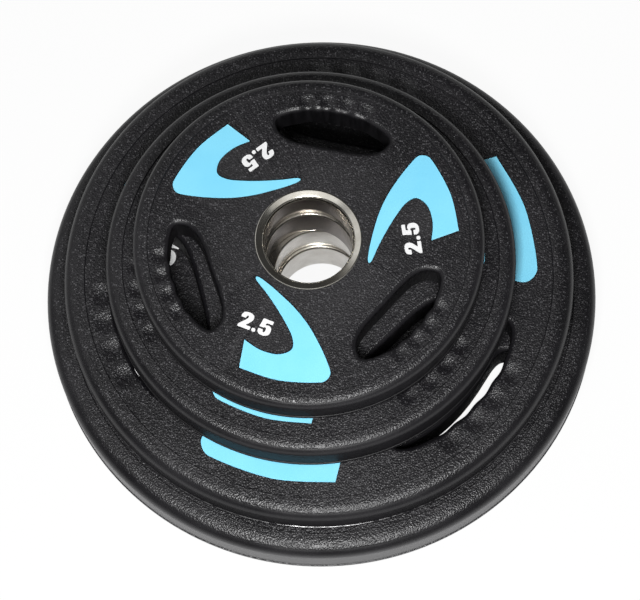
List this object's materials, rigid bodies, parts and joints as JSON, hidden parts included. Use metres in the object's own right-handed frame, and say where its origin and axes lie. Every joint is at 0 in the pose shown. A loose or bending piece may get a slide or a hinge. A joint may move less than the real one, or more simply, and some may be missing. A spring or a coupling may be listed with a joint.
{
  "type": "urethane weight plate",
  "caption": "Nested pile of round urethane weight plates with hand slots, finger grooves, hooked colour inlays and steel hub rings.",
  "frame": {"origin": "middle of the underside of the largest plate's surrounding box, on the surface it lies on", "axes": "+Z is the bar axis, up through the pile; +X is to the picture's right and +Y away from its camera"},
  "size_m": [0.3266, 0.3266, 0.0978],
  "materials": {
    "urethane": "fine pebbled satin black urethane",
    "iron": "raw sand-cast iron, sealed inside the casing",
    "steel": "turned bright steel",
    "inlay": "smooth sky-blue urethane"
  },
  "bodies": {
    "plate_15": {"plate_15_casing": "urethane", "plate_15_core": "iron", "plate_15_hub_ring": "steel", "plate_15_inlay_1": "inlay", "plate_15_inlay_2": "inlay", "plate_15_inlay_3": "inlay"},
    "plate_10": {"plate_10_casing": "urethane", "plate_10_core": "iron", "plate_10_hub_ring": "steel", "plate_10_inlay_1": "inlay", "plate_10_inlay_2": "inlay", "plate_10_inlay_3": "inlay"},
    "plate_5": {"plate_5_casing": "urethane", "plate_5_core": "iron", "plate_5_hub_ring": "steel", "plate_5_inlay_1": "inlay", "plate_5_inlay_2": "inlay", "plate_5_inlay_3": "inlay"},
    "plate_2_5": {"plate_2_5_casing": "urethane", "plate_2_5_core": "iron", "plate_2_5_hub_ring": "steel", "plate_2_5_inlay_1": "inlay", "plate_2_5_inlay_2": "inlay", "plate_2_5_inlay_3": "inlay"}
  },
  "joints": [
    {"name": "lift_plate_10", "type": "slide", "parent": "plate_15", "child": "plate_10", "axis": [0, 0, 1], "range_m": [0, 0.1]},
    {"name": "lift_plate_5", "type": "slide", "parent": "plate_10", "child": "plate_5", "axis": [0, 0, 1], "range_m": [0, 0.1]},
    {"name": "lift_plate_2_5", "type": "slide", "parent": "plate_5", "child": "plate_2_5", "axis": [0, 0, 1], "range_m": [0, 0.1]}
  ]
}
